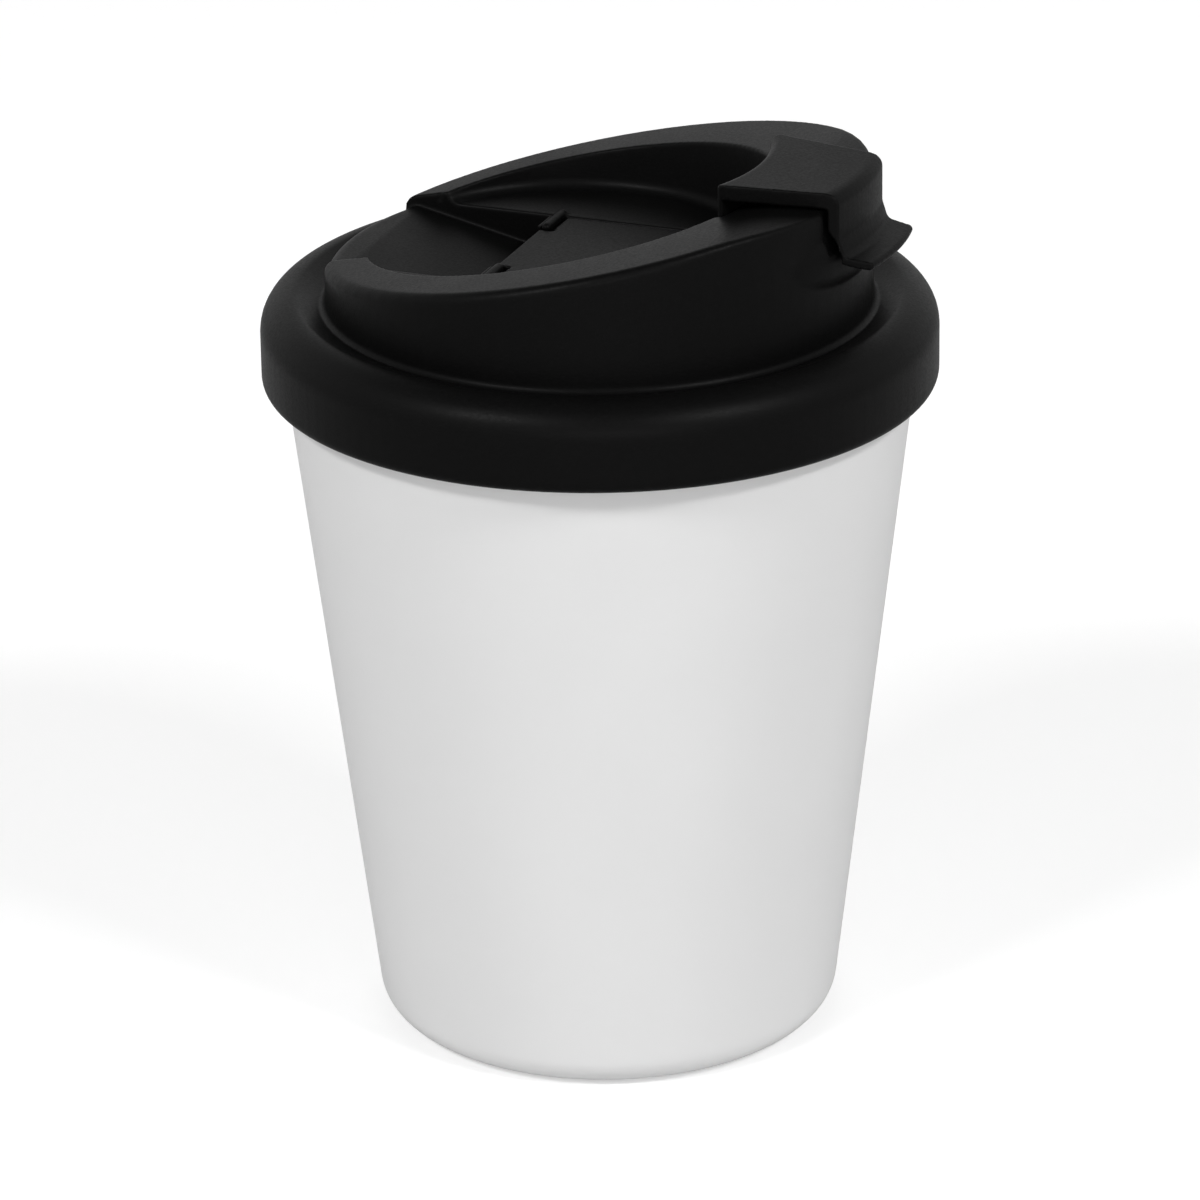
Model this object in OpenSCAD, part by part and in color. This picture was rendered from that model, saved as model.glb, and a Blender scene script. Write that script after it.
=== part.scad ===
// Double-wall travel cup with a screw-on lid and a flap that clips over the drinking hole.
// The cup stands on the floor with its axis along +Z, and the clip points along +X.

/* [Cup] */
// Outer radius of the shell where the line of its side meets the floor
foot_r = 30.8; // [27:0.2:34]
// Outer radius of the shell at its top edge
top_r = 41.8; // [41:0.2:45]
// Height of the shell, which is also the height of the skirt's lower edge
shell_h = 91; // [75:1:140]
// Round between the shell's side and its foot
foot_round = 5; // [3:0.5:6]
// Height of the hollow under the foot
foot_lift = 1.5; // [0.8:0.1:2.5]
// Width of the ring that the cup stands on
foot_ring = 3; // [2:0.5:4]
// Wall of the shell
shell_t = 1.8; // [1.4:0.1:2.2]
// Air between the shell and the liner
air_gap = 2.4; // [1.8:0.1:3.2]
// Wall of the liner
liner_t = 1.8; // [1.4:0.1:2.2]
// Floor of the liner
liner_floor_t = 2; // [1.6:0.1:3]
// Round between the liner's wall and its floor
liner_round = 5; // [3:0.5:8]
// Thickness of the liner's flange on the shell
flange_t = 1.4; // [1:0.1:1.6]
// Clearance of the liner's spigot inside the shell
spigot_gap = 0.05; // [0.02:0.01:0.1]
// Depth of the liner's spigot inside the shell
spigot_h = 3; // [2:0.5:5]
// Step from the shell's top edge in to the neck
neck_step = 2.4; // [2.2:0.1:2.8]
// Height of the neck above the shell
neck_h = 7.3; // [7:0.1:8]

/* [Screw thread] */
// Rise of the thread in one turn
thread_lead = 6; // [5.6:0.1:6.4]
// Height of the first ridge above the liner's flange
ridge_z = 2.9; // [2.7:0.1:3.1]
// Height of the neck's ridges
neck_ridge_h = 1.6; // [1.2:0.1:1.8]
// Clearance between the lid's ridges and the neck
ridge_gap = 0.8; // [0.5:0.1:1.2]
// Width of a ridge at its root
ridge_root_w = 1.6; // [1.4:0.1:1.8]
// Width of a ridge at its crest
ridge_crest_w = 0.8; // [0.6:0.1:1]

/* [Lid skirt] */
// Clearance between the shell's top edge and the skirt
skirt_gap = 1; // [0.6:0.1:1.2]
// Wall of the skirt
skirt_t = 2.2; // [1.8:0.1:2.6]
// Height of the skirt up to the top of its shoulder
skirt_h = 11.9; // [11.6:0.1:14]
// Round of the shoulder
shoulder_round = 4.7; // [3.5:0.1:5]
// Round of the skirt's lower edge
edge_round = 1.3; // [0.6:0.1:1.6]
// Width of the ledge between the crown and the skirt's outside
ledge_w = 8.7; // [8:0.1:9.2]
// Depth of the ledge's dish at the foot of the crown
ledge_dip = 1.4; // [0.8:0.1:1.6]
// Wall of the ledge at the foot of the crown
ledge_t = 1.8; // [1.5:0.1:2]

/* [Lid crown] */
// Wall of the crown and its floors
crown_t = 2; // [1.6:0.1:2.2]
// Height of the crown's top above the skirt's lower edge, at the lid's axis
crown_mid_h = 23.6; // [23:0.1:26]
// Slope of the crown's top
crown_tilt = 12; // [10:0.5:12]
// Distance from the axis where the top starts to level out
level_x = 24.5; // [22:0.5:26]
// Length over which the top levels out
level_l = 6; // [4:0.5:8]
// Draft of the crown's wall from its foot to its top
crown_draft = 0.2; // [0.1:0.1:0.8]
// Round between the crown's wall and its top, at the back
rim_round = 2; // [1.4:0.1:2.2]
// Round between the crown's wall and its top, under the clip
front_round = 0.8; // [0.6:0.1:1.4]
// Depth of the seat that the crown's wall has behind the leg
seat_in = 0.8; // [0.7:0.1:1]
// Round of the rim's two ends at the gap, seen from above
end_round = 0.8; // [0.6:0.1:2]
// Width of the rim at the back, where it is narrowest
rim_back_w = 3.9; // [3.4:0.1:4.4]
// Draft of the recess's wall
recess_draft = 1.1; // [0.6:0.1:1.2]
// Distance of the recess's axis behind the lid's axis
recess_back = 4.5; // [4:0.1:5]
// Height of the shelves above the skirt's lower edge
shelf_h = 16.35; // [15.8:0.05:17]
// Round between the recess's wall and the shelves
recess_round = 1.5; // [0.6:0.1:2]
// Half width of the channel
channel_hw = 13.7; // [13:0.1:14.5]
// Height of the channel's floor above the skirt's lower edge, under the flap
channel_h = 11.85; // [11.4:0.05:12.2]
// Height of the channel's floor above the skirt's lower edge, in the gap at the back
gap_h = 15.3; // [14.8:0.1:15.6]
// Distance behind the axis where the floor's ramp ends at the bottom
ramp_in = 16; // [15:0.5:18]
// Distance behind the axis where the floor's ramp ends at the top
ramp_out = 31.3; // [30:0.1:32]

/* [Openings and seals] */
// Width of the drinking hole
sip_w = 5.4; // [4:0.1:6]
// Length of the drinking hole
sip_l = 12; // [9:0.5:14]
// Radius of the vent hole
vent_r = 1.2; // [0.8:0.1:1.6]
// Distance of the vent hole in front of the axis
vent_x = 6; // [2:0.5:10]
// Thickness of the lid's seal
seal_t = 1.1; // [0.8:0.05:1.2]
// Width of the lid's seal
seal_w = 3.2; // [2.4:0.1:3.6]
// Clearance round the plug in the drinking hole
plug_gap = 0.4; // [0.3:0.05:0.6]
// Depth of the plug below the rim
plug_d = 2.4; // [1.5:0.1:3]
// Overlap of the plug's flange on the rim
plug_lip = 0.9; // [0.5:0.1:1.2]
// Radius of the plug's stem
stem_r = 1.5; // [1:0.1:1.8]
// Depth of the stem's socket in the clip
stem_d = 1.2; // [0.8:0.1:1.4]

/* [Flap] */
// Distance of the hinge behind the axis
hinge_back = 10.8; // [10:0.1:12]
// Depth of the hinge's axis below the shelves
hinge_drop = 0; // [0:0.1:0.6]
// Radius of the hinge's stub pins
pin_r = 0.7; // [0.6:0.1:1]
// Length of the hinge's stub pins
pin_l = 5.9; // [5:0.1:7]
// Running clearance round the pins
pin_gap = 0.08; // [0.05:0.01:0.1]
// Wall of the hooks that hold the pins
hook_t = 0.6; // [0.5:0.1:1]
// Length of the hooks
hook_l = 4.4; // [3:0.1:4.6]
// Thickness of the flap's plate
plate_t = 1.7; // [1.2:0.1:2]
// Clearance at the sides of the plate
plate_gap = 0.4; // [0.3:0.05:0.6]
// Wall of the riser
riser_t = 1.3; // [1.2:0.05:1.8]
// Depth of the pocket that the riser sits in
riser_seat = 0.9; // [0.6:0.1:1.2]
// Clearance between the riser and its pocket
riser_gap = 0.35; // [0.3:0.05:0.5]
// Half width of the clip at the riser
clip_hw = 11.1; // [9:0.05:11.5]
// Half width of the clip at its leg
leg_hw = 8.75; // [7:0.05:9]
// Half width of the finger tab
tab_hw = 7.8; // [6:0.1:8]
// Thickness of the clip over the rim
clip_t = 2.1; // [1.8:0.05:2.6]
// Clearance of the clip over the rim, at the leg
clip_gap = 0.3; // [0.3:0.05:0.8]
// Slope of the clip down to its leg
clip_tilt = 1.5; // [0:0.5:3]
// Clearance between the leg and the crown's wall
leg_gap = 0.1; // [0.05:0.05:0.5]
// Clearance between the leg and the bead
bead_gap = 0.2; // [0.15:0.05:0.4]
// Round of the clip's edge over the recess
riser_round = 1.2; // [0.5:0.1:1.4]
// Round of the clip's corners over the recess, seen from above
corner_round = 1.2; // [0.6:0.1:2]
// Wall of the leg
leg_t = 1.4; // [1.3:0.05:1.8]
// Length of the leg from the rim down to the tab
leg_h = 7.4; // [6.5:0.1:8]
// Reach of the tab beyond the crown
tab_reach = 5.5; // [4:0.1:6]
// Thickness of the tab
tab_t = 1.1; // [1:0.1:1.6]
// Drop of the tab from the leg to its tip
tab_drop = 0.3; // [0:0.1:0.8]

/* [Snap bead] */
// Height of the bead's middle above the foot of the crown
bead_h = 11.9; // [11.4:0.1:12.2]
// Distance that the bead stands out from the crown
bead_out = 1.6; // [1.2:0.1:1.7]
// Half height of the bead
bead_hh = 4.2; // [3.6:0.1:4.4]
// Half width of the bead
bead_hw = 15.5; // [12:0.5:16]

/* [Hidden] */
$fn = 96;
arc_n = 10;
far = 60;
fuse = 0.3;
run_gap = 0.1;

// Cup: every wall is parallel to the shell's outside.
side_slope = (top_r - foot_r) / shell_h;
side_a = atan(side_slope);
liner_in = shell_t + air_gap + liner_t;
liner_z = foot_lift + shell_t + air_gap;
bowl_z = liner_z + liner_floor_t;
neck_z = shell_h + flange_t;
rim_z = shell_h + neck_h;
neck_r = top_r - neck_step;
mouth_r = shell_r(rim_z) - liner_in;

// Lid: heights are above the floor.
lid_r = top_r + skirt_gap + skirt_t;
ledge_z = shell_h + skirt_h;
foot_z = ledge_z - ledge_dip;
under_z = rim_z + run_gap + seal_t + run_gap;
crown_r = lid_r - ledge_w;
shelf_z = shell_h + shelf_h;
channel_z = shell_h + channel_h;
gap_z = shell_h + gap_h;
crown_slope = tan(crown_tilt);
mid_z = shell_h + crown_mid_h;
top_z = mid_z + crown_slope * (level_x + level_l / 2);
crown_top_r = crown_r - crown_draft;
hollow_r = crown_top_r - crown_t;
recess_r = crown_top_r - rim_back_w - recess_back - recess_draft;
thread_mid_z = neck_z + ridge_z;

// Hinge and flap
hinge_x = -hinge_back;
hinge_z = shelf_z - hinge_drop;
plate_z = shelf_z - plate_t;
pocket_r = recess_r + recess_draft + riser_seat;
riser_r = pocket_r - riser_gap;
plate_hw = channel_hw - plate_gap;
clip_under_z = top_z + clip_gap;
clip_slope = tan(clip_tilt);
sip_x = (pocket_r - recess_back + hollow_r) / 2;
sip_tilt = atan2(top_z - hinge_z, sip_x - hinge_x);
bead_z = foot_z + bead_h;
bead_tube_r = (bead_out * bead_out + bead_hh * bead_hh) / (2 * bead_out);
bead_x = crown_top_r + bead_out;
hook_y = channel_hw - pin_l + pin_r + hook_l / 2;

// Outer radius of the shell's side at a height
function shell_r(z) = foot_r + side_slope * z;

// Points of an arc round [x, y], from angle a to angle b
function arc(x, y, r, a, b) =
    [for (i = [0 : arc_n]) let (t = a + (b - a) * i / arc_n) [x + r * cos(t), y + r * sin(t)]];

// Height of the crown's top at a distance in front of the axis
function roof_z(x) = let (t = min(max(x - level_x, 0), level_l))
    mid_z + crown_slope * (min(x, level_x) + t - t * t / (2 * level_l));

// Height of the clip's underside at a distance in front of the axis
function clip_z(x) = clip_under_z + clip_slope * (crown_r - x);

// A side view in X and Z, made hw thick to both sides of the middle
module side_view(points, hw) {
    rotate([90, 0, 0])
        linear_extrude(2 * hw, center = true)
            polygon(points);
}

// A slot across the middle, made of a block between two cylinders
module slot(width, length, z0, z1) {
    reach = (length - width) / 2;
    translate([-width / 2, -reach, z0])
        cube([width, 2 * reach, z1 - z0]);
    for (s = [-1, 1])
        translate([0, s * reach, z0])
            cylinder(r = width / 2, h = z1 - z0);
}

// One thread ridge: three short arcs on the slope of the thread, on each of two starts
module thread_ridges(root_r, crest_r, mid_z) {
    starts = 2;
    arcs = 3;
    arc_a = 38;
    step_a = 44;
    buried = root_r > crest_r ? fuse : -fuse;
    for (s = [0 : starts - 1], i = [0 : arcs - 1])
        rotate([0, 0, 360 / starts * s + step_a * i])
            translate([0, 0, mid_z + thread_lead * step_a * i / 360])
                rotate([atan(thread_lead / (2 * PI * root_r)), 0, 0])
                    rotate([0, 0, -arc_a / 2])
                        rotate_extrude(angle = arc_a)
                            polygon([[root_r + buried, -ridge_root_w / 2], [crest_r, -ridge_crest_w / 2],
                                [crest_r, ridge_crest_w / 2], [root_r + buried, ridge_root_w / 2]]);
}

module outer_shell() {
    round_x = foot_r + side_slope * foot_round - foot_round / cos(side_a);
    in_round = max(foot_round - shell_t, 1);
    floor_z = foot_lift + shell_t;
    in_x = shell_r(floor_z + in_round) - shell_t - in_round;
    color("white")
        rotate_extrude()
            polygon(concat(
                [[0, foot_lift], [round_x - foot_ring - foot_lift, foot_lift], [round_x - foot_ring, 0]],
                arc(round_x, foot_round, foot_round, -90, -side_a),
                [[top_r, shell_h], [top_r - shell_t, shell_h]],
                arc(in_x, floor_z + in_round, in_round, 0, -90),
                [[0, floor_z]]));
}

module inner_liner() {
    out_round = liner_round + liner_t;
    out_x = shell_r(liner_z + out_round) - shell_t - air_gap - out_round;
    in_x = shell_r(bowl_z + liner_round) - liner_in - liner_round;
    spigot_z = shell_h - spigot_h;
    lip = 0.8;
    color("white") {
        rotate_extrude()
            polygon(concat(
                [[0, liner_z]],
                arc(out_x, liner_z + out_round, out_round, -90, 0),
                [[shell_r(spigot_z - air_gap) - shell_t - air_gap, spigot_z - air_gap],
                    [shell_r(spigot_z) - shell_t - spigot_gap, spigot_z],
                    [top_r - shell_t - spigot_gap, shell_h],
                    [top_r, shell_h],
                    [top_r, neck_z],
                    [neck_r, neck_z]],
                arc(neck_r - lip, rim_z - lip, lip, 0, 90),
                arc(mouth_r + lip, rim_z - lip, lip, 90, 180),
                arc(in_x, bowl_z + liner_round, liner_round, 0, -90),
                [[0, bowl_z]]));
        thread_ridges(neck_r, neck_r + neck_ridge_h, thread_mid_z);
    }
}

// The skirt and the ledge, as a solid up to the foot of the crown
module skirt_body() {
    foot_fillet = 0.6;
    rotate_extrude()
        polygon(concat(
            [[0, shell_h]],
            arc(lid_r - edge_round, shell_h + edge_round, edge_round, -90, 0),
            arc(lid_r - shoulder_round, ledge_z - shoulder_round, shoulder_round, 0, 90),
            [[crown_r + foot_fillet, foot_z], [crown_r, foot_z + foot_fillet], [0, foot_z + foot_fillet]]));
}

// The room inside the skirt, up to the ledge's underside
module skirt_room() {
    in_r = lid_r - skirt_t;
    in_round = max(shoulder_round - skirt_t, 1);
    rotate_extrude()
        polygon(concat(
            [[0, shell_h - 1], [in_r, shell_h - 1]],
            arc(in_r - in_round, under_z - in_round, in_round, 0, 90),
            [[0, under_z]]));
}

// Radius of the crown's wall at a height
function wall_r(z) = crown_r - crown_draft * (z - foot_z) / (top_z - foot_z);

// Round of the crown's top edge at a distance in front of the axis
function edge_round_at(x) = rim_round + (front_round - rim_round) * (x + crown_r) / (2 * crown_r);

// The crown's outline under its sloping top, brought in by an inset and down by a drop
module crown_body(inset, drop, z0) {
    roof_n = 8;
    intersection() {
        rotate_extrude()
            polygon([[0, z0], [crown_r - inset, z0], [crown_r - inset, foot_z],
                [crown_top_r - inset, top_z - drop], [0, top_z - drop]]);
        side_view(concat(
            [[-far, z0 - 1], [far, z0 - 1], [far, roof_z(far) - drop]],
            [for (i = [roof_n : -1 : 0]) let (x = level_x + level_l * i / roof_n) [x, roof_z(x) - drop]],
            [[-far, roof_z(-far) - drop]]), far);
    }
}

// A convex cover whose edge follows the crown's top edge with a round
module round_top() {
    balls = 72;
    skin = 0.05;
    hull() {
        translate([0, 0, foot_z])
            cylinder(r = wall_r(foot_z) + skin, h = 1);
        for (i = [0 : balls - 1]) {
            a = 360 / balls * i;
            ball_r = edge_round_at(crown_r * cos(a));
            r = wall_r(roof_z(crown_r * cos(a)) - ball_r) - ball_r + skin;
            slope_a = r * cos(a) > level_x + level_l / 2 ? 0 : crown_tilt;
            translate([r * cos(a), r * sin(a), roof_z(r * cos(a)) + skin - ball_r / cos(slope_a)])
                sphere(r = ball_r, $fn = 32);
        }
    }
}

// The round recess, made larger by a wall
module recess_room(wall) {
    r = recess_r + wall;
    z = shelf_z - wall;
    room_round = recess_round + wall;
    translate([-recess_back, 0, 0])
        rotate_extrude()
            polygon(concat(
                [[0, z]],
                arc(r - room_round, z + room_round, room_round, -90, 0),
                [[r + recess_draft, top_z], [r + recess_draft, top_z + far], [0, top_z + far]]));
}

// The channel under the flap and its gap through the rim, made larger by a wall
module channel_room(wall) {
    intersection() {
        side_view([[-far, gap_z - wall], [-ramp_out, gap_z - wall], [-ramp_in, channel_z - wall],
            [far, channel_z - wall], [far, far + top_z], [-far, far + top_z]], channel_hw + wall);
        union() {
            translate([-recess_back, 0, 0])
                cylinder(r = recess_r + wall, h = far + top_z);
            translate([-far - recess_back, -far, 0])
                cube([far, 2 * far, far + top_z]);
        }
    }
}

// The corners that are cut off where the channel meets the recess, to leave round rim ends
module rim_ends() {
    r = recess_r + recess_draft;
    corner_x = -recess_back - sqrt(r * r - channel_hw * channel_hw);
    ball_y = channel_hw + end_round;
    ball_x = -recess_back - sqrt((r + end_round) * (r + end_round) - ball_y * ball_y);
    touch = r / (r + end_round);
    for (s = [-1, 1])
        translate([0, 0, shelf_z])
            linear_extrude(far)
                difference() {
                    polygon([[ball_x, s * (channel_hw - fuse)], [ball_x, s * channel_hw],
                        [touch * (ball_x + recess_back) - recess_back, s * touch * ball_y],
                        [corner_x + end_round, s * (channel_hw - fuse)]]);
                    translate([ball_x, s * ball_y])
                        circle(r = end_round);
                }
}

// The edge that is cut off the crown's wall in the gap, to leave it as round as the rim
module gap_edge() {
    edge_r = wall_r(gap_z - rim_round) - rim_round;
    intersection() {
        translate([-far, -channel_hw, gap_z - rim_round])
            cube([far, 2 * channel_hw, rim_round + 1]);
        rotate_extrude()
            polygon(concat(arc(edge_r, gap_z - rim_round, rim_round + 0.01, 90, 0),
                [[far, gap_z - rim_round], [far, gap_z + 1], [edge_r, gap_z + 1]]));
    }
}

// The shallow seat behind the leg, which lets the leg swing past the crown's edge
module leg_seat() {
    hw = leg_hw + riser_gap * 2;
    intersection() {
        translate([0, -hw, mid_z])
            cube([far, 2 * hw, far]);
        rotate_extrude()
            polygon([[wall_r(mid_z) + 0.1, mid_z], [crown_top_r - seat_in, top_z],
                [crown_top_r - seat_in, top_z + 1], [far, top_z + 1], [far, mid_z]]);
    }
}

// The bead that the clip's leg grips: the outer part of a ring that is wider than the crown
module snap_bead() {
    end_x = sqrt(crown_top_r * crown_top_r - bead_hw * bead_hw);
    ring_x = (bead_hw * bead_hw + end_x * end_x - bead_x * bead_x) / (2 * (end_x - bead_x));
    difference() {
        translate([ring_x, 0, bead_z])
            rotate_extrude()
                translate([bead_x - ring_x - bead_tube_r, 0])
                    circle(r = bead_tube_r);
        translate([0, 0, bead_z - far])
            cylinder(r = crown_top_r - crown_t / 2, h = 2 * far);
        translate([-far, -far, bead_z - far])
            cube([far, 2 * far, 2 * far]);
    }
}

// The two stub pins that carry the flap, with rounded free ends
module stub_pins() {
    for (s = [-1, 1])
        translate([hinge_x, s * (channel_hw - pin_l + pin_r), hinge_z]) {
            rotate([-90 * s, 0, 0])
                cylinder(r = pin_r, h = pin_l - pin_r + crown_t / 2);
            sphere(r = pin_r);
        }
}

// The drinking hole's outline, turned along the path of the plug
module sip_slot(gap, z0, z1) {
    translate([sip_x, 0, top_z])
        rotate([0, -sip_tilt, 0])
            slot(sip_w - 2 * gap, sip_l - 2 * gap, z0, z1);
}

module lid() {
    in_r = lid_r - skirt_t;
    rib_gap = 0.4;
    rib_r = mouth_r - rib_gap;
    rib_w = 1.2;
    rib_h = 1.4;
    sip_cut = 10;
    color("#1a1a1a") {
        difference() {
            union() {
                skirt_body();
                intersection() {
                    crown_body(0, 0, foot_z);
                    round_top();
                }
                snap_bead();
            }
            skirt_room();
            recess_room(0);
            channel_room(0);
            rim_ends();
            gap_edge();
            leg_seat();
            difference() {
                crown_body(crown_t, crown_t, under_z - fuse);
                recess_room(crown_t);
                channel_room(crown_t);
                riser_pocket(crown_t);
            }
            riser_pocket(0);
            sip_slot(0, -sip_cut, sip_cut);
            translate([vent_x, 0, under_z])
                cylinder(r = vent_r, h = channel_z - under_z + 1);
        }
        stub_pins();
        translate([0, 0, under_z - rib_h])
            difference() {
                cylinder(r = rib_r, h = rib_h + fuse);
                translate([0, 0, -1])
                    cylinder(r = rib_r - rib_w, h = rib_h + 2);
            }
        thread_ridges(in_r, neck_r + ridge_gap, thread_mid_z - thread_lead / 4);
    }
}

// The pocket in the recess's wall that the riser sits in, made larger by a wall
module riser_pocket(wall) {
    hw = clip_hw + riser_gap + wall;
    intersection() {
        translate([-recess_back, 0, channel_z - wall])
            cylinder(r = pocket_r + wall, h = far);
        translate([0, -hw, 0])
            cube([far, 2 * hw, far + top_z]);
    }
}

module lid_seal() {
    out_r = neck_r + run_gap;
    color("gray")
        translate([0, 0, rim_z + run_gap])
            difference() {
                cylinder(r = out_r, h = seal_t);
                translate([0, 0, -1])
                    cylinder(r = max(out_r - seal_w, mouth_r - run_gap), h = seal_t + 2);
            }
}

// The plate that closes the channel, with its hinge hooks and the post over the vent
module flap_plate() {
    notch_gap = 0.6;
    hook_top = 0.15;
    notch_x = pin_r + notch_gap;
    notch_y = channel_hw - pin_l - notch_gap / 2;
    post_lip = 0.4;
    post_d = 0.6;
    hook_r = pin_r + pin_gap + hook_t;
    difference() {
        union() {
            difference() {
                intersection() {
                    translate([hinge_x - pin_r, -plate_hw, plate_z])
                        cube([far, 2 * plate_hw, plate_t]);
                    union() {
                        translate([-recess_back, 0, 0])
                            cylinder(r = recess_r - plate_gap, h = far + top_z);
                        clip_plan();
                    }
                    translate([-recess_back, 0, 0])
                        cylinder(r = riser_r, h = far + top_z);
                }
                for (s = [-1, 1])
                    translate([hinge_x - 1, s * (notch_y + far / 2) - far / 2, plate_z - 1])
                        cube([notch_x + 1, far, plate_t + 2]);
            }
            for (s = [-1, 1])
                translate([hinge_x, s * hook_y, hinge_z]) {
                    rotate([90, 0, 0])
                        cylinder(r = hook_r, h = hook_l, center = true);
                    translate([0, -hook_l / 2, -hook_r])
                        cube([hook_r + hook_t, hook_l, hook_r + plate_z - hinge_z + plate_t / 2]);
                }
            translate([vent_x, 0, channel_z + run_gap * 2])
                cylinder(r = vent_r + post_lip, h = plate_z - channel_z);
            translate([vent_x, 0, channel_z - post_d])
                cylinder(r = vent_r - plug_gap, h = plate_z - channel_z);
        }
        for (s = [-1, 1])
            translate([hinge_x, s * hook_y, hinge_z]) {
                rotate([90, 0, 0])
                    cylinder(r = pin_r + pin_gap, h = hook_l + 2, center = true);
                translate([-far / 2, -hook_l / 2 - 1, hook_top])
                    cube([far / 2, hook_l + 2, far]);
                translate([0, -hook_l / 2 - 1, -pin_r / 2])
                    cube([notch_x, hook_l + 2, far]);
            }
    }
}

// The clip's outline from above, which narrows from the riser to the leg and to the tab
module clip_plan() {
    knee_x = riser_r - recess_back - clip_t;
    corner_y = clip_hw - corner_round;
    corner_x = sqrt(pow(riser_r - riser_t, 2) - corner_y * corner_y) - recess_back + corner_round;
    side = concat(
        [[0, corner_y]],
        arc(corner_x, corner_y, corner_round, 180, 90),
        [[max(knee_x, corner_x), clip_hw], [crown_r, leg_hw], [crown_r + tab_reach, tab_hw], [far, tab_hw]]);
    linear_extrude(far + top_z)
        polygon(concat(side, [for (i = [len(side) - 1 : -1 : 0]) [side[i][0], -side[i][1]]]));
}

// The riser, the clip over the rim, its leg and the finger tab
module flap_clip() {
    in_r = crown_top_r + leg_gap;
    out_r = in_r + leg_t;
    hook_r = bead_tube_r + bead_gap;
    hook_x = bead_x - bead_tube_r;
    hook_a = acos((in_r - hook_x) / hook_r);
    tip_r = crown_r + tab_reach;
    tab_z = top_z - leg_h;
    tip_z = tab_z - tab_drop;
    clip_round = 1.5;
    spread = 0.5;
    elbow_r = 1.1;
    edge_x = riser_r - riser_t;
    edge_z = clip_z(edge_x - recess_back) + clip_t;
    leg_top = clip_z(out_r) + clip_t;
    difference() {
        intersection() {
            clip_plan();
            side_view([[0, plate_z], [far, plate_z], [far, clip_z(far) + clip_t],
                [0, clip_z(0) + clip_t]], far);
            rotate_extrude()
                polygon(concat(
                    [[0, plate_z], [tip_r - tab_t, plate_z], [tip_r - tab_t, tip_z]],
                    arc(tip_r - tab_t / 2, tip_z + tab_t / 2, tab_t / 2, -90, 75),
                    arc(out_r + spread + elbow_r, tab_z + tab_t + elbow_r, elbow_r, 270, 190),
                    [[out_r, tab_z + tab_t + elbow_r + leg_t]],
                    arc(out_r - clip_round, leg_top - clip_round, clip_round, 0, 90),
                    [[0, leg_top + far]]));
        }
        intersection() {
            side_view([[0, 0], [far, 0], [far, clip_z(far)], [0, clip_z(0)]], far);
            difference() {
                rotate_extrude()
                    polygon(concat(
                        [[0, 0], [far, 0], [far, tip_z], [tip_r - tab_t / 2, tip_z],
                            [bead_x + bead_gap + tab_t, tab_z]],
                        arc(hook_x, bead_z, hook_r, 0, hook_a),
                        [[in_r, far + top_z], [0, far + top_z]]));
                translate([-recess_back, 0, 0])
                    cylinder(r = riser_r, h = far + top_z);
            }
        }
        translate([-recess_back, 0, 0])
            cylinder(r = edge_x, h = far + top_z);
        translate([-recess_back, 0, 0])
            rotate_extrude()
                polygon(concat([[0, edge_z - riser_round]],
                    arc(edge_x + riser_round, edge_z - riser_round, riser_round, 180, 90),
                    [[edge_x + riser_round, far + top_z], [0, far + top_z]]));
        translate([sip_x, 0, clip_z(sip_x) - 1])
            cylinder(r = stem_r, h = stem_d + 1);
    }
}

module flap() {
    color("#1a1a1a") {
        flap_plate();
        flap_clip();
    }
}

module flap_plug() {
    lip_z = top_z + run_gap;
    plug_h = 3 * clip_gap;
    color("gray")
        union() {
            intersection() {
                union() {
                    translate([sip_x, 0, 0])
                        slot(sip_w + 2 * plug_lip, sip_l + 2 * plug_lip, lip_z, lip_z + plug_h);
                    sip_slot(plug_gap, -plug_d, plug_h);
                }
                side_view([[0, 0], [far, 0], [far, clip_z(far)], [0, clip_z(0)]], far);
            }
            translate([sip_x, 0, lip_z])
                cylinder(r = stem_r, h = clip_z(sip_x) + stem_d - lip_z);
        }
}

outer_shell();
inner_liner();
lid();
lid_seal();
flap();
flap_plug();
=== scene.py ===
# %% [markdown]
# # Dressing a double-wall travel cup
#
# The object is a reusable travel cup: a white outer shell, a white liner with a threaded neck, and a
# black screw-on lid whose flap clips over the drinking hole. All of it is injection moulded. The packed
# model brings the exact solids, and this file gives them the soft edges, the moulded surface and the
# light of a product photograph. The cup's lengths are written in millimetres, as on a drawing, and are
# turned to Blender's metres where they are used. The studio round it is written in metres.

import math

import bpy
from mathutils import Matrix, Vector


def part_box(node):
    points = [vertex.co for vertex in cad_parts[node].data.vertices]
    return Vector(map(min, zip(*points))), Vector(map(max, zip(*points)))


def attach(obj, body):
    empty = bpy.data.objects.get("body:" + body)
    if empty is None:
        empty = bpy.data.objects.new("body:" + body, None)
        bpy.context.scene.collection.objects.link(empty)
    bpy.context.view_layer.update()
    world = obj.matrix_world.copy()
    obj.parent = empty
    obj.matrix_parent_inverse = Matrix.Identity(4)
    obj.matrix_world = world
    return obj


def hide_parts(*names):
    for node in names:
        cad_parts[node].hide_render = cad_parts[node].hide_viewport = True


MM = 0.001

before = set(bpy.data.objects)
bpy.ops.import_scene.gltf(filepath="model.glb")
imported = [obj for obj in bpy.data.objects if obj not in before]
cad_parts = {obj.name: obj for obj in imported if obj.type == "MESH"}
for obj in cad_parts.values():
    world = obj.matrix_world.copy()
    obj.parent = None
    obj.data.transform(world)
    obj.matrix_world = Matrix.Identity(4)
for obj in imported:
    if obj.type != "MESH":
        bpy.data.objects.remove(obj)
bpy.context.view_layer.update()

# %% [markdown]
# ## Colours and nodes
#
# A colour on screen is written as an sRGB hex value, while a shader works with linear light, so one
# function turns the one into the other. A second one adds a node, sets its values and joins its inputs,
# which keeps each material down to a few lines that read from the surface pattern to the shader.


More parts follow.
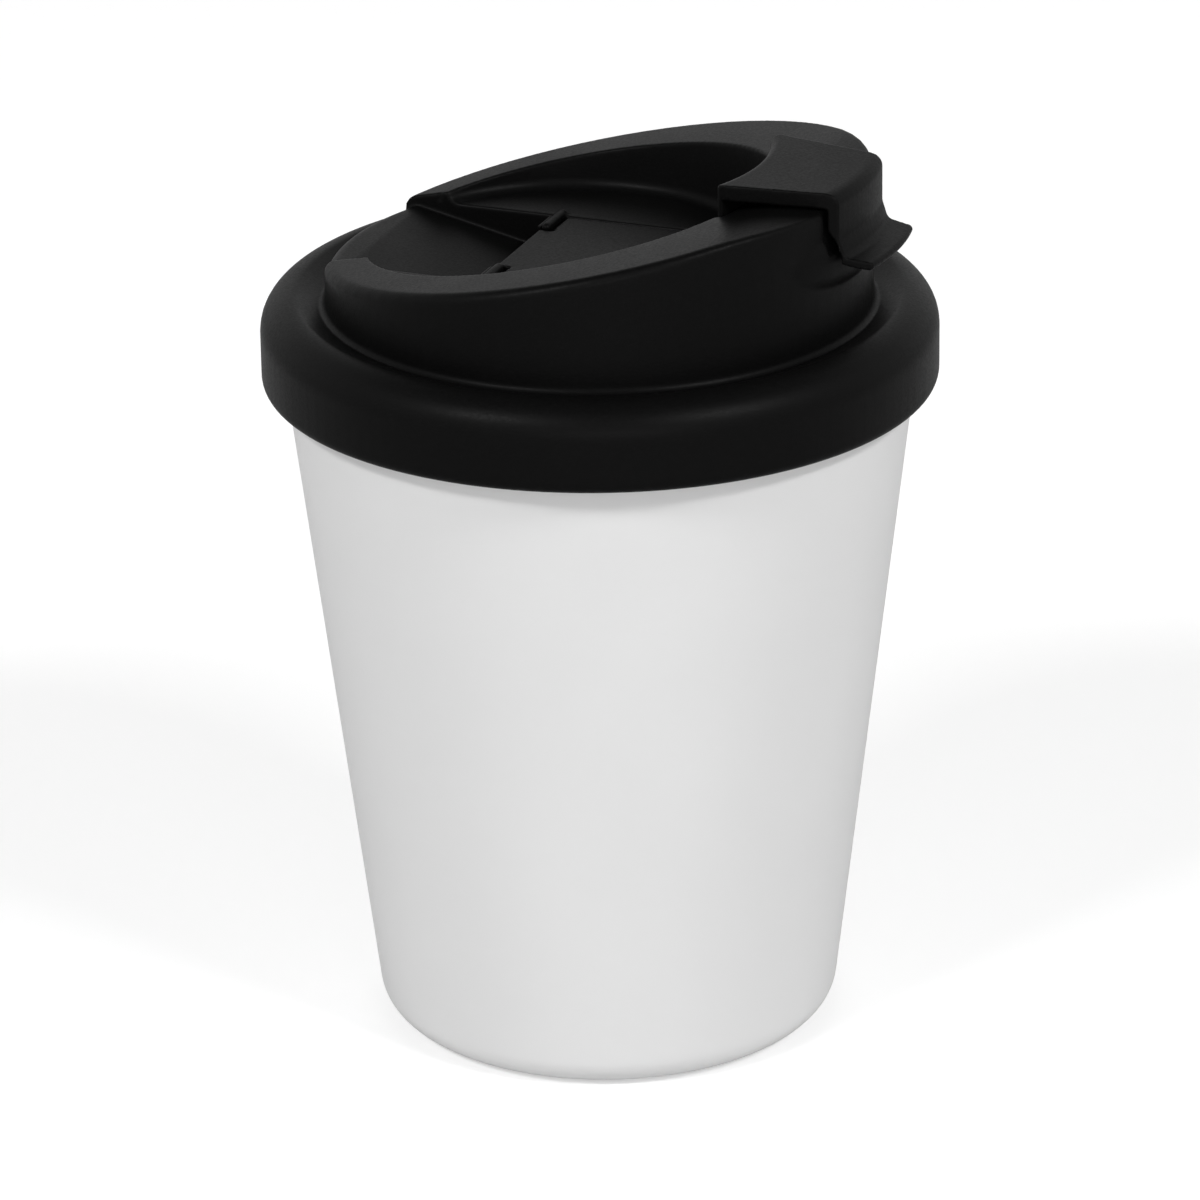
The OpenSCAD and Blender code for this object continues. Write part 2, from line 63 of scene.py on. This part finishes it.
# %% Small helpers for materials
def linear(hex_colour):
    """The linear RGBA value of an sRGB hex colour."""
    parts = [int(hex_colour[i : i + 2], 16) / 255 for i in (1, 3, 5)]
    return [c / 12.92 if c <= 0.04045 else ((c + 0.055) / 1.055) ** 2.4 for c in parts] + [1.0]


def add_node(tree, kind, settings=None, **inputs):
    """Adds a node. An input is named after its socket, or after its number as in _0.

    Its value is a plain value, or the output socket of another node, which is then joined to it.
    """
    node = tree.nodes.new(kind)
    for name, value in (settings or {}).items():
        setattr(node, name, value)
    for name, value in inputs.items():
        by_number = name[1:].isdigit()
        socket = node.inputs[int(name[1:])] if by_number else node.inputs[name.replace("_", " ")]
        if isinstance(value, bpy.types.NodeSocket):
            tree.links.new(value, socket)
        else:
            socket.default_value = value
    return node


def new_material(name):
    """An empty material, its node tree, and the Object coordinates that its patterns are laid out in."""
    material = bpy.data.materials.new(name)
    material.use_nodes = True
    tree = material.node_tree
    tree.nodes.clear()
    coordinates = add_node(tree, "ShaderNodeTexCoord")
    place = add_node(tree, "ShaderNodeMapping", Vector=coordinates.outputs["Object"])
    return material, tree, place.outputs["Vector"]


def close_material(tree, shader):
    """Joins the finished shader to the material's output."""
    add_node(tree, "ShaderNodeOutputMaterial", Surface=shader.outputs[0])


print("the screen's middle grey #808080 is", round(linear("#808080")[0], 3), "in linear light")

# %% [markdown]
# ## Black moulded polypropylene
#
# The lid and the flap are moulded in black polypropylene. The mould is spark eroded, which leaves a fine
# matt grain that breaks every highlight into soft dust. The eye reads three things: a black that is
# nearly without colour, a broad dull sheen where a face turns away, and the grain itself on lit edges.
# The grain is about 0.1 mm in truth. It is drawn 0.35 mm wide, so that a render can show it. Such a
# grain scatters most of the mirror light, so the specular level is set far below that of smooth plastic.

# %% The lid's plastic
GRAIN = 0.35
CLOUD = 14.0


def black_polypropylene():
    """Black polypropylene from a spark-eroded mould."""
    material, tree, place = new_material("black_polypropylene_spark_texture")
    grain = add_node(tree, "ShaderNodeTexNoise", Vector=place, Scale=1 / (GRAIN * MM), Detail=3.0,
                     Roughness=0.6)
    cloud = add_node(tree, "ShaderNodeTexNoise", Vector=place, Scale=1 / (CLOUD * MM), Detail=2.0)
    # The sheen is a little uneven, because plastic cools unevenly against the mould.
    sheen = add_node(tree, "ShaderNodeMapRange", Value=cloud.outputs["Fac"], To_Min=0.4, To_Max=0.48)
    # Each grain is a little duller or shinier than the next, which is the dust in the highlights.
    speck = add_node(tree, "ShaderNodeMapRange", Value=grain.outputs["Fac"], From_Min=0.35, From_Max=0.7,
                     To_Min=-0.05, To_Max=0.05)
    rough = add_node(tree, "ShaderNodeMath", {"operation": "ADD"}, _0=sheen.outputs[0], _1=speck.outputs[0])
    tone = add_node(tree, "ShaderNodeMix", {"data_type": "RGBA"}, _0=grain.outputs["Fac"],
                    _6=linear("#060606"), _7=linear("#0b0b0b"))
    bump = add_node(tree, "ShaderNodeBump", Height=grain.outputs["Fac"], Strength=0.5, Distance=0.03 * MM)
    shader = add_node(tree, "ShaderNodeBsdfPrincipled", Base_Color=tone.outputs[2], Roughness=rough.outputs[0],
                      Normal=bump.outputs["Normal"], IOR=1.49, Specular_IOR_Level=0.06)
    close_material(tree, shader)
    return material


BLACK = black_polypropylene()
print("made", BLACK.name)

# %% [markdown]
# ## White moulded polypropylene
#
# The shell and the liner are the same plastic with white pigment. Their mould is only blasted, so the
# grain is finer and shallower, and the wide side shows a very slight cloudiness where the melt flowed.
# The white is a light neutral grey, because a pure white would lose its shading in the light.

# %% The cup's plastic
FLOW = 22.0
BLAST = 0.3


def white_polypropylene():
    """White polypropylene from a blasted mould."""
    material, tree, place = new_material("white_polypropylene_blasted")
    blast = add_node(tree, "ShaderNodeTexNoise", Vector=place, Scale=1 / (BLAST * MM), Detail=2.0)
    flow = add_node(tree, "ShaderNodeTexNoise", Vector=place, Scale=1 / (FLOW * MM), Detail=1.0)
    tone = add_node(tree, "ShaderNodeMix", {"data_type": "RGBA"}, _0=flow.outputs["Fac"],
                    _6=linear("#dadada"), _7=linear("#dfdfdf"))
    rough = add_node(tree, "ShaderNodeMapRange", Value=blast.outputs["Fac"], To_Min=0.46, To_Max=0.6)
    bump = add_node(tree, "ShaderNodeBump", Height=blast.outputs["Fac"], Strength=0.12, Distance=0.02 * MM)
    shader = add_node(tree, "ShaderNodeBsdfPrincipled", Base_Color=tone.outputs[2], Roughness=rough.outputs[0],
                      Normal=bump.outputs["Normal"], IOR=1.49, Specular_IOR_Level=0.3)
    close_material(tree, shader)
    return material


WHITE = white_polypropylene()
print("made", WHITE.name)

# %% [markdown]
# ## Silicone
#
# The lid's seal and the plug under the flap are moulded silicone. It is milky and a little translucent,
# with a dry, dull surface that shows almost no highlight and holds some dust. A little subsurface light,
# which travels about 2 mm inside the rubber, gives the thin plug its milky look.

# %% The seals' rubber
DUST = 1.2
MILKY_DEPTH = 2.0


def milky_silicone():
    """Translucent grey silicone rubber."""
    material, tree, place = new_material("silicone_moulded_milky")
    dust = add_node(tree, "ShaderNodeTexNoise", Vector=place, Scale=1 / (DUST * MM), Detail=4.0)
    tone = add_node(tree, "ShaderNodeMix", {"data_type": "RGBA"}, _0=dust.outputs["Fac"],
                    _6=linear("#a3a4a2"), _7=linear("#b4b5b3"))
    rough = add_node(tree, "ShaderNodeMapRange", Value=dust.outputs["Fac"], To_Min=0.55, To_Max=0.72)
    bump = add_node(tree, "ShaderNodeBump", Height=dust.outputs["Fac"], Strength=0.1, Distance=0.02 * MM)
    shader = add_node(tree, "ShaderNodeBsdfPrincipled", Base_Color=tone.outputs[2], Roughness=rough.outputs[0],
                      Normal=bump.outputs["Normal"], IOR=1.41, Subsurface_Weight=0.15,
                      Subsurface_Scale=MILKY_DEPTH * MM)
    close_material(tree, shader)
    return material


SILICONE = milky_silicone()
print("made", SILICONE.name)

# %% [markdown]
# ## Finishing a piece
#
# Every piece ends the same way: it gets its material and smooth shading, rides on the body that carries
# it, and takes the place of the CAD node that it was made from, which is hidden. The imported node is
# hidden but still collides.
# An operator works on all that is selected, so each step first selects its own piece and nothing else.


# %% Hand a piece over to the frame
def select_only(piece):
    """Makes a piece the one selected and active object."""
    bpy.ops.object.select_all(action="DESELECT")
    piece.select_set(True)
    bpy.context.view_layer.objects.active = piece


def apply_modifier(piece, kind, **settings):
    """Adds a modifier, sets it and applies it, so that the mesh itself holds the result."""
    modifier = piece.modifiers.new(kind.lower(), kind)
    for name, value in settings.items():
        setattr(modifier, name, value)
    select_only(piece)
    bpy.ops.object.modifier_apply(modifier=modifier.name)


def give_material(piece, material):
    """Makes one material the whole finish of a piece."""
    piece.data.materials.clear()
    piece.data.materials.append(material)
    faces = sum(len(face.vertices) - 2 for face in piece.data.polygons)
    print(piece.name, "has", faces, "triangles of", material.name)


def hand_over(piece, material, body, node, smooth_angle):
    """Gives a finished piece its surface, and puts it on its body in place of a CAD node."""
    give_material(piece, material)
    select_only(piece)
    bpy.ops.object.shade_smooth_by_angle(angle=math.radians(smooth_angle))
    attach(piece, body)
    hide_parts(node)


# %% [markdown]
# ## Turning round pieces
#
# The shell and the liner are bodies of revolution. A lathe does that: the profile is walked once from the
# middle of the underside, up the outside, over the edge and down the inside. In Blender a circle stands
# for the first point, and each further point is one extrude of the ring, moved up and scaled out. The
# first and the last ring leave a small open middle below and above. Both are filled at the end, which
# leaves a closed solid with a real wall. Edges under 40 degrees are shaded smooth, so the many narrow
# faces read as one round wall, while the rims of ring and flange stay crisp.

# %% The lathe
SEGMENTS = 192
MIDDLE_R = 4.0
TURNED_SMOOTH = 40


def turn(name, profile):
    """Makes a closed body of revolution from (radius, height) pairs in millimetres."""
    bpy.ops.object.select_all(action="DESELECT")
    radius, height = profile[0]
    bpy.ops.mesh.primitive_circle_add(vertices=SEGMENTS, radius=radius * MM, location=(0, 0, height * MM))
    piece = bpy.context.object
    piece.name = name
    bpy.ops.object.transform_apply(location=True)
    bpy.ops.object.mode_set(mode="EDIT")
    bpy.ops.mesh.select_all(action="SELECT")
    for new_radius, new_height in profile[1:]:
        rise = (0, 0, (new_height - height) * MM)
        bpy.ops.mesh.extrude_region_move(TRANSFORM_OT_translate={"value": rise})
        scale = new_radius / radius
        bpy.ops.transform.resize(value=(scale, scale, 1), center_override=(0, 0, new_height * MM))
        radius, height = new_radius, new_height
    bpy.ops.mesh.select_all(action="SELECT")
    bpy.ops.mesh.fill_holes(sides=0)
    bpy.ops.mesh.select_all(action="SELECT")
    bpy.ops.mesh.normals_make_consistent(inside=False)
    bpy.ops.object.mode_set(mode="OBJECT")
    return piece


def arc(radius, height, round_r, start, end, steps=8):
    """Points of a round in the profile, about a centre, from one angle to another."""
    angles = [math.radians(start + (end - start) * i / steps) for i in range(steps + 1)]
    return [(radius + round_r * math.cos(a), height + round_r * math.sin(a)) for a in angles]


# %% [markdown]
# ## The outer shell
#
# The shell is one plain tapered wall. It stands on a narrow ring round a shallow hollow, so that it does
# not rock, and its side runs into the foot in a soft round. Its top edge is hidden by the lid's skirt.
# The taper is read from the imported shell, so this piece keeps to the size of the solid.

# %% Turn the shell
WALL = 1.8
FOOT_R = 30.8
FOOT_ROUND = 5.0
FOOT_RING = 3.0
FOOT_LIFT = 1.5
EDGE = 0.35
SHELL_RINGS = (20.0, 40.0, 60.0, 80.0)

shell_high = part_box("outer_shell")[1]
shell_h = shell_high.z / MM
shell_top = shell_high.x / MM
taper = (shell_top - FOOT_R) / shell_h
lean = math.degrees(math.atan(taper))


def side(height):
    """Outer radius of the shell's side at a height."""
    return FOOT_R + taper * height


ring_r = FOOT_R + taper * FOOT_ROUND - FOOT_ROUND / math.cos(math.radians(lean))
inner_round = FOOT_ROUND - WALL
floor_z = FOOT_LIFT + WALL
inner_r = side(floor_z + inner_round) - WALL - inner_round

# The hollow under the foot, its ring and the round that leads into the side.
shell_profile = [(MIDDLE_R, FOOT_LIFT), (ring_r - FOOT_RING - FOOT_LIFT, FOOT_LIFT), (ring_r - FOOT_RING, 0.0)]
shell_profile += arc(ring_r, FOOT_ROUND, FOOT_ROUND, -90, -lean, steps=14)
# The side, the top edge, and the inside down to the floor.
shell_profile += [(side(z), z) for z in (*SHELL_RINGS, shell_h - EDGE)]
shell_profile += [(shell_top - EDGE, shell_h), (shell_top - WALL + EDGE, shell_h),
                  (shell_top - WALL, shell_h - EDGE)]
shell_profile += arc(inner_r, floor_z + inner_round, inner_round, 0, -90)
shell_profile += [(MIDDLE_R, floor_z)]

shell = turn("cup_shell", shell_profile)
hand_over(shell, WHITE, "cup", "outer_shell", TURNED_SMOOTH)

# %% [markdown]
# ## The liner and its neck
#
# The liner hangs inside the shell with an air gap, which keeps the drink hot and the hand cool. A short
# spigot under its flange centres it in the shell. The flange rests on the shell's top edge, and above it
# stands the neck, with a round lip that the lid's seal presses on.

# %% Turn the liner
AIR = 2.4
LINER_FLOOR = 2.0
LINER_ROUND = 5.0
FLANGE = 1.4
SPIGOT = 3.0
SPIGOT_GAP = 0.05
NECK_STEP = 2.4
NECK_H = 7.3
LIP = 0.8
LINER_RINGS = (80.0, 60.0, 40.0, 24.0)

liner_in = WALL + AIR + WALL
liner_z = FOOT_LIFT + WALL + AIR
bowl_z = liner_z + LINER_FLOOR
rim_z = shell_h + NECK_H
neck_r = shell_top - NECK_STEP
flange_z = shell_h + FLANGE
mouth_r = side(rim_z) - liner_in
outer_round = LINER_ROUND + WALL
under_r = side(liner_z + outer_round) - WALL - AIR - outer_round
bowl_r = side(bowl_z + LINER_ROUND) - liner_in - LINER_ROUND
spigot_z = shell_h - SPIGOT

# The underside and the outer side, up to the spigot.
liner_profile = [(MIDDLE_R, liner_z)]
liner_profile += arc(under_r, liner_z + outer_round, outer_round, -90, 0)
liner_profile += [(side(spigot_z - AIR) - WALL - AIR, spigot_z - AIR),
                  (side(spigot_z) - WALL - SPIGOT_GAP, spigot_z), (shell_top - WALL - SPIGOT_GAP, shell_h)]
# The flange, the neck and the lip.
liner_profile += [(shell_top - EDGE, shell_h), (shell_top, shell_h + EDGE), (shell_top, flange_z - EDGE),
                  (shell_top - EDGE, flange_z), (neck_r + EDGE, flange_z), (neck_r, flange_z + EDGE)]
liner_profile += arc(neck_r - LIP, rim_z - LIP, LIP, 0, 90, steps=6)
liner_profile += arc(mouth_r + LIP, rim_z - LIP, LIP, 90, 180, steps=6)
# The inside, down into the bowl.
liner_profile += [(side(z) - liner_in, z) for z in LINER_RINGS]
liner_profile += arc(bowl_r, bowl_z + LINER_ROUND, LINER_ROUND, 0, -90) + [(MIDDLE_R, bowl_z)]

liner = turn("cup_liner", liner_profile)
print("the neck is", round(2 * neck_r, 1), "mm across and the mouth", round(2 * mouth_r, 1), "mm")

# %% [markdown]
# ## The thread
#
# The thread is two rows of three short ridges on the neck. Short ridges leave the mould easily, and water
# drains between them. Each ridge is a small four-sided section, spun part of a turn round the axis. Its
# edges are bevelled, and the whole ridge is then tilted to the slope of the thread. A tilt is not quite a
# helix, but over so short a ridge the two can't be told apart.

# %% Spin the thread's ridges
LEAD = 6.0
RIDGE_H = 1.6
RIDGE_ROOT = 1.6
RIDGE_CREST = 0.8
RIDGE_EDGE = 0.25
RIDGE_ARC = 38.0
RIDGE_STEP = 44.0
RIDGE_Z = 2.9
RIDGES = 3
STARTS = (0, 180)
SUNK = 0.4


def thread_ridge(turned, z):
    """One ridge of the neck's thread, turned to its place round the neck."""
    bpy.ops.object.select_all(action="DESELECT")
    bpy.ops.mesh.primitive_plane_add(size=1, location=(0, 0, 0))
    ridge = bpy.context.object
    ridge.name = "neck_thread"
    corners = [(neck_r - SUNK, -RIDGE_ROOT / 2), (neck_r + RIDGE_H, -RIDGE_CREST / 2),
               (neck_r - SUNK, RIDGE_ROOT / 2), (neck_r + RIDGE_H, RIDGE_CREST / 2)]
    for vertex, (r, h) in zip(ridge.data.vertices, corners):
        vertex.co = (r * MM, 0, h * MM)
    bpy.ops.object.mode_set(mode="EDIT")
    bpy.ops.mesh.select_all(action="SELECT")
    bpy.ops.mesh.spin(steps=16, angle=math.radians(RIDGE_ARC), center=(0, 0, 0), axis=(0, 0, 1))
    bpy.ops.mesh.select_all(action="SELECT")
    bpy.ops.mesh.normals_make_consistent(inside=False)
    bpy.ops.object.mode_set(mode="OBJECT")
    apply_modifier(ridge, "BEVEL", width=RIDGE_EDGE * MM, segments=3, limit_method="ANGLE",
                   angle_limit=math.radians(35))
    centre = Matrix.Rotation(-math.radians(RIDGE_ARC) / 2, 4, "Z")
    slope = Matrix.Rotation(math.atan(LEAD / (2 * math.pi * neck_r)), 4, "X")
    ridge.data.transform(Matrix.Rotation(math.radians(turned), 4, "Z") @ slope @ centre)
    ridge.data.transform(Matrix.Translation((0, 0, z * MM)))
    return ridge


ridges = []
for start in STARTS:
    for i in range(RIDGES):
        turned = RIDGE_STEP * i
        ridges.append(thread_ridge(start + turned, flange_z + RIDGE_Z + LEAD * turned / 360))
bpy.ops.object.select_all(action="DESELECT")
for ridge in ridges:
    ridge.select_set(True)
liner.select_set(True)
bpy.context.view_layer.objects.active = liner
bpy.ops.object.join()
hand_over(liner, WHITE, "cup", "inner_liner", TURNED_SMOOTH)

# %% [markdown]
# ## Softening a moulded solid
#
# No edge of a moulding is sharp: the cutter that made the mould leaves a small radius everywhere. The lid
# and the flap have dozens of edges that meet on curved faces, where a bevel would tear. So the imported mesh
# is copied, its loose triangles are merged, and it is wrapped again in a fine even grid. Relaxing that
# grid rounds every edge alike, and a last step thins it out on flat faces. The grid lies along the axes,
# as most of the lid's flat faces do, because a turned grid would leave steps along their edges.

# %% Wrap and relax
MERGE = 0.001
SOFT_SMOOTH = 60


def soften(node, name, grid, passes, keep):
    """A copy of a CAD node with rounded edges.

    The grid is in millimetres, passes is how often it is relaxed, and keep is the share of its faces
    that is left after thinning.
    """
    piece = bpy.data.objects.new(name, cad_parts[node].data.copy())
    bpy.context.scene.collection.objects.link(piece)
    select_only(piece)
    bpy.ops.object.mode_set(mode="EDIT")
    bpy.ops.mesh.select_all(action="SELECT")
    bpy.ops.mesh.remove_doubles(threshold=MERGE * MM)
    bpy.ops.object.mode_set(mode="OBJECT")
    if piece.data.has_custom_normals:
        bpy.ops.mesh.customdata_custom_splitnormals_clear()
    apply_modifier(piece, "REMESH", mode="VOXEL", voxel_size=grid * MM, adaptivity=0.0)
    apply_modifier(piece, "SMOOTH", factor=0.5, iterations=passes)
    apply_modifier(piece, "DECIMATE", ratio=keep)
    return piece


# %% [markdown]
# ## The lid
#
# The lid is one moulding. Its skirt screws over the neck, a dished ledge runs inside the skirt's round
# shoulder, and a hollow crown rises from the ledge in a slope up to the drinking rim. A round recess with
# two shelves makes room for the nose, and a channel across it holds the flap on two small stub pins.

# %% Soften the lid
lid = soften("lid", "lid_moulding", grid=0.2, passes=12, keep=0.11)
hand_over(lid, BLACK, "lid", "lid", SOFT_SMOOTH)

# %% [markdown]
# ## The flap and its plug
#
# The flap is a plate that lies flush in the channel, a riser that follows the recess's wall, and a clip
# that bends over the rim and grips the bead with its leg. The tab at the leg's end is what a finger lifts.
# It is moulded in the same black plastic, thin enough to bend a little as it snaps on. The plug under it
# is soft silicone that closes the drinking hole. Both are thinner than the lid, so their grid is finer.

# %% Soften the flap and its plug
flap = soften("flap", "flap_moulding", grid=0.14, passes=9, keep=0.45)
hand_over(flap, BLACK, "closure", "flap", SOFT_SMOOTH)

plug = soften("flap_plug", "drinking_hole_plug", grid=0.12, passes=6, keep=0.6)
hand_over(plug, SILICONE, "closure", "flap_plug", SOFT_SMOOTH)

# %% [markdown]
# ## The seal
#
# The seal is a flat ring that the neck's rim presses into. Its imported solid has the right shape, so it
# stays as it is and only gets its rubber.

# %% Give the seal its rubber
give_material(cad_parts["lid_seal"], SILICONE)

# %% [markdown]
# ## The floor
#
# Product photographs of this kind are taken on white paper. The floor is a pale matt sheet that takes the
# cup's shadow. The lamps alone would show it as a light grey. So it glows for the camera, by just enough
# to bring the lit paper up to white and to leave the shadow, without putting more light on the cup.

# %% Lay the floor
FLOOR_SIZE = 8.0
FLOOR_GLOW = 0.46
FIBRE = 2.0

bpy.ops.object.select_all(action="DESELECT")
bpy.ops.mesh.primitive_plane_add(size=FLOOR_SIZE, location=(0, 0, 0))
floor = bpy.context.object
floor.name = "studio_floor"
paper, tree, place = new_material("studio_paper_matt")
fibre = add_node(tree, "ShaderNodeTexNoise", Vector=place, Scale=1 / (FIBRE * MM), Detail=3.0)
paper_tone = add_node(tree, "ShaderNodeMix", {"data_type": "RGBA"}, _0=fibre.outputs["Fac"],
                      _6=linear("#d6d6d6"), _7=linear("#dadada"))
matt = add_node(tree, "ShaderNodeBsdfDiffuse", Color=paper_tone.outputs[2])
seen = add_node(tree, "ShaderNodeLightPath")
glow = add_node(tree, "ShaderNodeMath", {"operation": "MULTIPLY"}, _0=seen.outputs["Is Camera Ray"],
                _1=FLOOR_GLOW)
lift = add_node(tree, "ShaderNodeEmission", Strength=glow.outputs[0])
close_material(tree, add_node(tree, "ShaderNodeAddShader", _0=matt.outputs[0], _1=lift.outputs[0]))
floor.data.materials.append(paper)
print("the floor is", FLOOR_SIZE, "m wide and glows for the camera by", FLOOR_GLOW)

# %% [markdown]
# ## The world
#
# The world stands for the white wall behind the paper and for the light that comes from all round. A ray
# that the camera sees, directly or in a mirror-like surface, finds it white. All other rays find a dimmer
# light, so the cup is lit softly from every side and its walls keep their shading.

# %% Light the world
AMBIENT = 0.62

world = bpy.data.worlds.new("studio")
bpy.context.scene.world = world
world.use_nodes = True
sky = world.node_tree
sky.nodes.clear()
path = add_node(sky, "ShaderNodeLightPath")
mirrored = add_node(sky, "ShaderNodeMath", {"operation": "MAXIMUM"}, _0=path.outputs["Is Glossy Ray"],
                    _1=path.outputs["Is Transmission Ray"])
shown = add_node(sky, "ShaderNodeMath", {"operation": "MAXIMUM"}, _0=path.outputs["Is Camera Ray"],
                 _1=mirrored.outputs[0])
strength = add_node(sky, "ShaderNodeMapRange", Value=shown.outputs[0], To_Min=AMBIENT, To_Max=1.0)
backdrop = add_node(sky, "ShaderNodeBackground", Strength=strength.outputs[0])
add_node(sky, "ShaderNodeOutputWorld", Surface=backdrop.outputs[0])
print("the world lights the cup with", AMBIENT)

# %% [markdown]
# ## A cloth overhead
#
# Black plastic shows its shape through what it mirrors. The top of the lid's shoulder and the ledge look
# straight up, so a grey cloth overhead is what keeps them darker than the faces round them. It is wide
# enough for that and no wider, so the lid's sloping rim still mirrors the white wall beside it.

# %% Stretch the cloth overhead
CLOTH_SIZE = 4.0
CLOTH_HEIGHT = 2.3
FUZZ = 3.0

bpy.ops.object.select_all(action="DESELECT")
bpy.ops.mesh.primitive_plane_add(size=CLOTH_SIZE, location=(0, 0, CLOTH_HEIGHT))
cloth = bpy.context.object
cloth.name = "studio_ceiling"
felt, tree, place = new_material("grey_felt")
fuzz = add_node(tree, "ShaderNodeTexNoise", Vector=place, Scale=1 / (FUZZ * MM), Detail=2.0)
felt_tone = add_node(tree, "ShaderNodeMix", {"data_type": "RGBA"}, _0=fuzz.outputs["Fac"],
                     _6=linear("#7c7c7c"), _7=linear("#848484"))
close_material(tree, add_node(tree, "ShaderNodeBsdfDiffuse", Color=felt_tone.outputs[2]))
cloth.data.materials.append(felt)
print("the cloth is", CLOTH_SIZE, "m wide and hangs", CLOTH_HEIGHT, "m up")

# %% [markdown]
# ## Lamps
#
# Two long soft boxes, in front to the left and right, draw the bright lines along the lid's shoulder. A
# low, wide one beside the camera lights the middle of the white wall, which falls off softly to its
# sides. A large, weak one behind keeps the back from going dull. It is kept out of the reflections,
# because its shine would wash out the black rim and recess.

# %% Hang the soft boxes
CUP_MIDDLE = 0.06
NEAR = 1.8
FAR = 2.4


def soft_box(name, azimuth, elevation, distance, size, power):
    """An area lamp at a bearing and distance from the cup, turned to it. Size is (width, height)."""
    lamp_data = bpy.data.lights.new(name, "AREA")
    lamp_data.shape = "RECTANGLE"
    lamp_data.size, lamp_data.size_y = size
    lamp_data.energy = power
    lamp = bpy.data.objects.new(name, lamp_data)
    bpy.context.scene.collection.objects.link(lamp)
    flat = math.cos(math.radians(elevation))
    bearing = Vector((flat * math.cos(math.radians(azimuth)), flat * math.sin(math.radians(azimuth)),
                      math.sin(math.radians(elevation))))
    lamp.location = Vector((0, 0, CUP_MIDDLE)) + bearing * distance
    lamp.rotation_euler = bearing.to_track_quat("Z", "Y").to_euler()
    print(name, "gives", power, "W at", [round(c, 2) for c in lamp.location], "m")
    return lamp


soft_box("left_soft_box", azimuth=-113, elevation=42, distance=NEAR, size=(0.5, 0.2), power=13)
soft_box("right_soft_box", azimuth=-21, elevation=42, distance=NEAR, size=(0.5, 0.2), power=13)
soft_box("low_soft_box", azimuth=-63.5, elevation=9, distance=NEAR, size=(1.2, 0.3), power=5)
back_box = soft_box("back_soft_box", azimuth=111.5, elevation=35, distance=FAR, size=(1.6, 1.6), power=9)
back_box.visible_glossy = False

# %% [markdown]
# ## Camera
#
# The camera was found from the photograph: the ellipses of the skirt and of the crown and the lines of the
# cup's side fit one place, one long lens and a very slight roll. It stands 0.93 m away and looks down on
# the cup by 22 degrees, with the clip turned to the right. It first looks at a point on the cup's axis,
# and three small turns then bring the cup to its place in the picture.

# %% Place the camera
PHOTO_WIDTH = 1200
FOCAL_PIXELS = 6899.07
SENSOR = 36.0
DISTANCE = 0.9301
AIM_HEIGHT = 0.05677
AZIMUTH = math.radians(-68.5)
ELEVATION = math.radians(22.401)
YAW = math.radians(0.031)
PITCH = math.radians(0.089)
ROLL = math.radians(0.812)

camera = bpy.data.objects.new("photo_camera", bpy.data.cameras.new("photo_camera"))
bpy.context.scene.collection.objects.link(camera)
bpy.context.scene.camera = camera
camera.data.sensor_width = SENSOR
camera.data.lens = FOCAL_PIXELS / PHOTO_WIDTH * SENSOR

away = Vector((math.cos(ELEVATION) * math.cos(AZIMUTH), math.cos(ELEVATION) * math.sin(AZIMUTH),
               math.sin(ELEVATION)))
forward = -away
right = forward.cross(Vector((0, 0, 1))).normalized()
up = right.cross(forward)
yawed = Matrix.Rotation(YAW, 3, up)
forward, right = yawed @ forward, yawed @ right
pitched = Matrix.Rotation(PITCH, 3, right)
forward, up = pitched @ forward, pitched @ up
rolled = Matrix.Rotation(ROLL, 3, forward)
right, up = rolled @ right, rolled @ up
turn_to = Matrix((right, up, -forward)).transposed().to_4x4()
camera.matrix_world = Matrix.Translation(Vector((0, 0, AIM_HEIGHT)) + away * DISTANCE) @ turn_to
print("the camera stands at", [round(c, 4) for c in camera.matrix_world.translation], "m")

# %% [markdown]
# ## Close the scene
#
# The colours are shown as they are, without a film look.

# %% Show the colours as they are
bpy.context.scene.view_settings.view_transform = "Standard"
